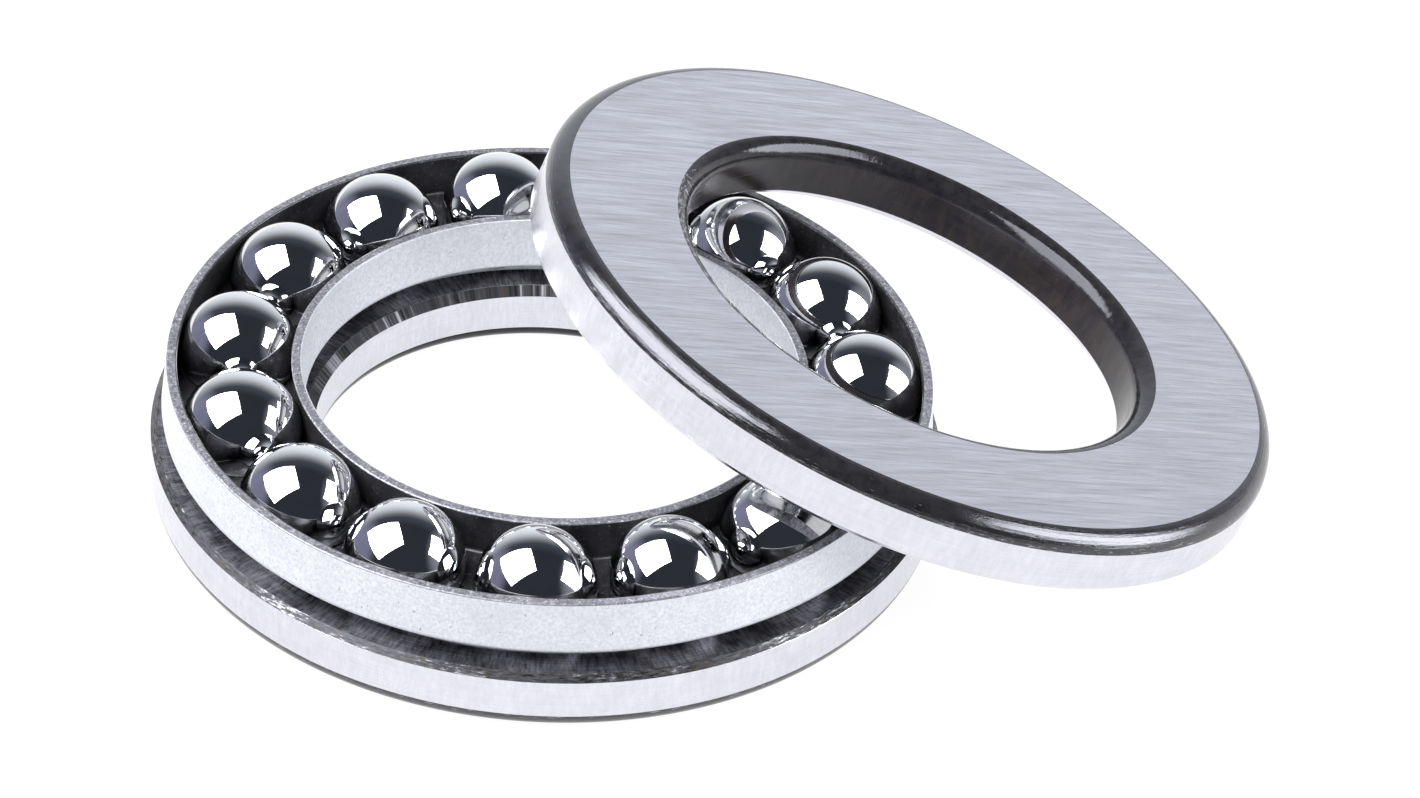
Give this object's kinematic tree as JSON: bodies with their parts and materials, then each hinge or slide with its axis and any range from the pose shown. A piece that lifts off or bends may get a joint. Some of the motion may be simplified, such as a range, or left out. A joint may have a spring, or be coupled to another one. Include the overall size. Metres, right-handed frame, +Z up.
{
  "type": "thrust ball bearing",
  "caption": "Single-direction thrust ball bearing: flat shaft washer, channel cage with chrome balls, and the housing washer lifted off and leaning on it.",
  "frame": {"origin": "on the table, under the middle of the whole arrangement; the shaft washer's axis is 14.954 mm towards -X from it", "axes": "+Z up along the shaft washer's axis, +X towards the side where the lifted housing washer leans down to the table"},
  "size_m": [0.0979, 0.068, 0.0274],
  "materials": {
    "washer_steel": "ground bearing steel, fine parallel grinding lines on the faces, satin turned rims and dark polished edge radii",
    "cage_steel": "matt stamped sheet steel with a fine speckle, darker inside the channel",
    "ball_steel": "mirror-polished bearing steel"
  },
  "bodies": {
    "base": {"shaft_washer": "washer_steel"},
    "cage": {"cage": "cage_steel"},
    "housing_washer": {"housing_washer": "washer_steel"},
    "ball_01": {"ball_01": "ball_steel"},
    "ball_02": {"ball_02": "ball_steel"},
    "ball_03": {"ball_03": "ball_steel"},
    "ball_04": {"ball_04": "ball_steel"},
    "ball_05": {"ball_05": "ball_steel"},
    "ball_06": {"ball_06": "ball_steel"},
    "ball_07": {"ball_07": "ball_steel"},
    "ball_08": {"ball_08": "ball_steel"},
    "ball_09": {"ball_09": "ball_steel"},
    "ball_10": {"ball_10": "ball_steel"},
    "ball_11": {"ball_11": "ball_steel"},
    "ball_12": {"ball_12": "ball_steel"},
    "ball_13": {"ball_13": "ball_steel"},
    "ball_14": {"ball_14": "ball_steel"},
    "ball_15": {"ball_15": "ball_steel"}
  },
  "joints": [
    {"name": "cage_spin", "type": "hinge", "parent": "base", "child": "cage", "pos_m": [-0.01495, 0, 0.0095], "axis": [0, 0, 1], "continuous": true},
    {"name": "washer_lift", "type": "hinge", "parent": "base", "child": "housing_washer", "pos_m": [-0.01629, 0, -0.07449], "axis": [0, -1, 0], "range_deg": [0, 19.5]},
    {"name": "ball_01_roll", "type": "hinge", "parent": "cage", "child": "ball_01", "pos_m": [0.01113, 0.00699, 0.0095], "axis": [0.9659, 0.2588, 0], "continuous": true},
    {"name": "ball_02_roll", "type": "hinge", "parent": "cage", "child": "ball_02", "pos_m": [0.00603, 0.01699, 0.0095], "axis": [0.7771, 0.6293, 0], "continuous": true},
    {"name": "ball_03_roll", "type": "hinge", "parent": "cage", "child": "ball_03", "pos_m": [-0.0027, 0.02406, 0.0095], "axis": [0.454, 0.891, 0], "continuous": true},
    {"name": "ball_04_roll", "type": "hinge", "parent": "cage", "child": "ball_04", "pos_m": [-0.01354, 0.02696, 0.0095], "axis": [0.0523, 0.9986, 0], "continuous": true},
    {"name": "ball_05_roll", "type": "hinge", "parent": "cage", "child": "ball_05", "pos_m": [-0.02463, 0.02521, 0.0095], "axis": [-0.3584, 0.9336, 0], "continuous": true},
    {"name": "ball_06_roll", "type": "hinge", "parent": "cage", "child": "ball_06", "pos_m": [-0.03405, 0.01909, 0.0095], "axis": [-0.7071, 0.7071, 0], "continuous": true},
    {"name": "ball_07_roll", "type": "hinge", "parent": "cage", "child": "ball_07", "pos_m": [-0.04016, 0.00968, 0.0095], "axis": [-0.9336, 0.3584, 0], "continuous": true},
    {"name": "ball_08_roll", "type": "hinge", "parent": "cage", "child": "ball_08", "pos_m": [-0.04192, -0.00141, 0.0095], "axis": [-0.9986, -0.0523, 0], "continuous": true},
    {"name": "ball_09_roll", "type": "hinge", "parent": "cage", "child": "ball_09", "pos_m": [-0.03901, -0.01226, 0.0095], "axis": [-0.891, -0.454, 0], "continuous": true},
    {"name": "ball_10_roll", "type": "hinge", "parent": "cage", "child": "ball_10", "pos_m": [-0.03195, -0.02098, 0.0095], "axis": [-0.6293, -0.7771, 0], "continuous": true},
    {"name": "ball_11_roll", "type": "hinge", "parent": "cage", "child": "ball_11", "pos_m": [-0.02194, -0.02608, 0.0095], "axis": [-0.2588, -0.9659, 0], "continuous": true},
    {"name": "ball_12_roll", "type": "hinge", "parent": "cage", "child": "ball_12", "pos_m": [-0.01073, -0.02667, 0.0095], "axis": [0.1564, -0.9877, 0], "continuous": true},
    {"name": "ball_13_roll", "type": "hinge", "parent": "cage", "child": "ball_13", "pos_m": [-0.00025, -0.02264, 0.0095], "axis": [0.5446, -0.8387, 0], "continuous": true},
    {"name": "ball_14_roll", "type": "hinge", "parent": "cage", "child": "ball_14", "pos_m": [0.00769, -0.0147, 0.0095], "axis": [0.8387, -0.5446, 0], "continuous": true},
    {"name": "ball_15_roll", "type": "hinge", "parent": "cage", "child": "ball_15", "pos_m": [0.01171, -0.00422, 0.0095], "axis": [0.9877, -0.1564, 0], "continuous": true}
  ],
  "couplings": [
    {"joint": "ball_01_roll", "follows": "cage_spin", "ratio": -5.2326},
    {"joint": "ball_02_roll", "follows": "cage_spin", "ratio": -5.2326},
    {"joint": "ball_03_roll", "follows": "cage_spin", "ratio": -5.2326},
    {"joint": "ball_04_roll", "follows": "cage_spin", "ratio": -5.2326},
    {"joint": "ball_05_roll", "follows": "cage_spin", "ratio": -5.2326},
    {"joint": "ball_06_roll", "follows": "cage_spin", "ratio": -5.2326},
    {"joint": "ball_07_roll", "follows": "cage_spin", "ratio": -5.2326},
    {"joint": "ball_08_roll", "follows": "cage_spin", "ratio": -5.2326},
    {"joint": "ball_09_roll", "follows": "cage_spin", "ratio": -5.2326},
    {"joint": "ball_10_roll", "follows": "cage_spin", "ratio": -5.2326},
    {"joint": "ball_11_roll", "follows": "cage_spin", "ratio": -5.2326},
    {"joint": "ball_12_roll", "follows": "cage_spin", "ratio": -5.2326},
    {"joint": "ball_13_roll", "follows": "cage_spin", "ratio": -5.2326},
    {"joint": "ball_14_roll", "follows": "cage_spin", "ratio": -5.2326},
    {"joint": "ball_15_roll", "follows": "cage_spin", "ratio": -5.2326}
  ]
}
